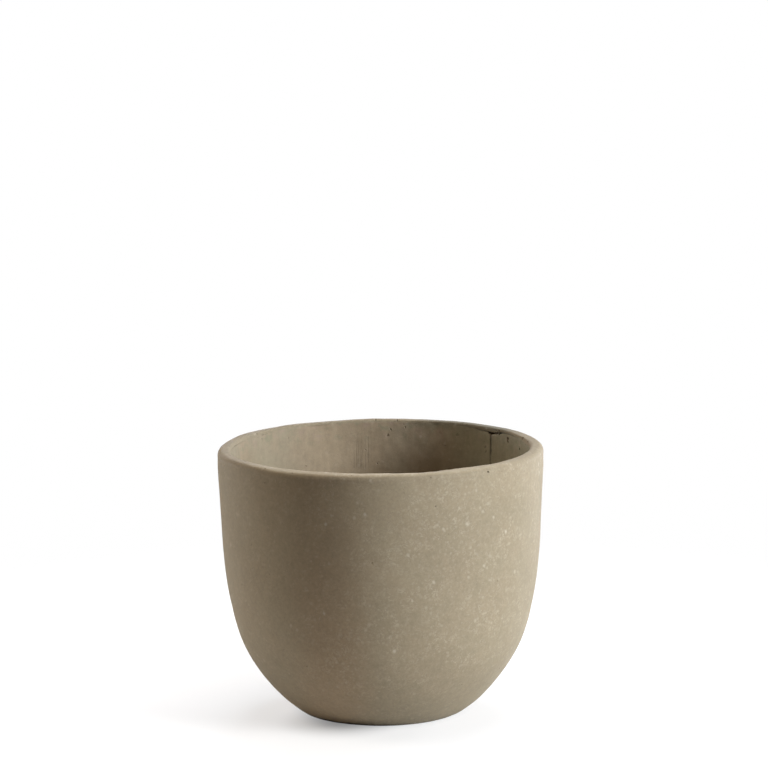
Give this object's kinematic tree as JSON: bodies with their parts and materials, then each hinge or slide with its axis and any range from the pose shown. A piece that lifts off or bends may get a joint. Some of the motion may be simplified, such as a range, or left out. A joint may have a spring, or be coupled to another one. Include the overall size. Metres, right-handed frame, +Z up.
{
  "type": "concrete planter",
  "caption": "Round bowl-shaped concrete planter with a rounded rim, hollow planting cavity, flat pad-footed base and a central drain hole closed by a lift-out rubber plug.",
  "frame": {"origin": "on the floor under the centre of the pot, at the underside of the floor pads", "axes": "+Z up along the pot's axis; the camera of the picture stands on the -Y side, and +X is to its right"},
  "size_m": [0.3923, 0.3924, 0.32],
  "materials": {
    "face_concrete": "matte fine-grained warm taupe concrete with pale chips",
    "backing_concrete": "matte trowelled taupe concrete",
    "fibre_scrim": "matte woven glass fibre soaked with cement",
    "plug_rubber": "matte black rubber",
    "pad_felt": "dense dark felt"
  },
  "bodies": {
    "pot": {"outer_shell": "face_concrete", "wall_mesh": "fibre_scrim", "base_mesh": "fibre_scrim", "left_backing": "backing_concrete", "right_backing": "backing_concrete", "base_screed": "backing_concrete", "floor_pads": "pad_felt"},
    "plug": {"drain_plug": "plug_rubber"}
  },
  "joints": [
    {"name": "plug_lift", "type": "slide", "parent": "pot", "child": "plug", "axis": [0, 0, 1], "range_m": [0, 0.33]}
  ]
}
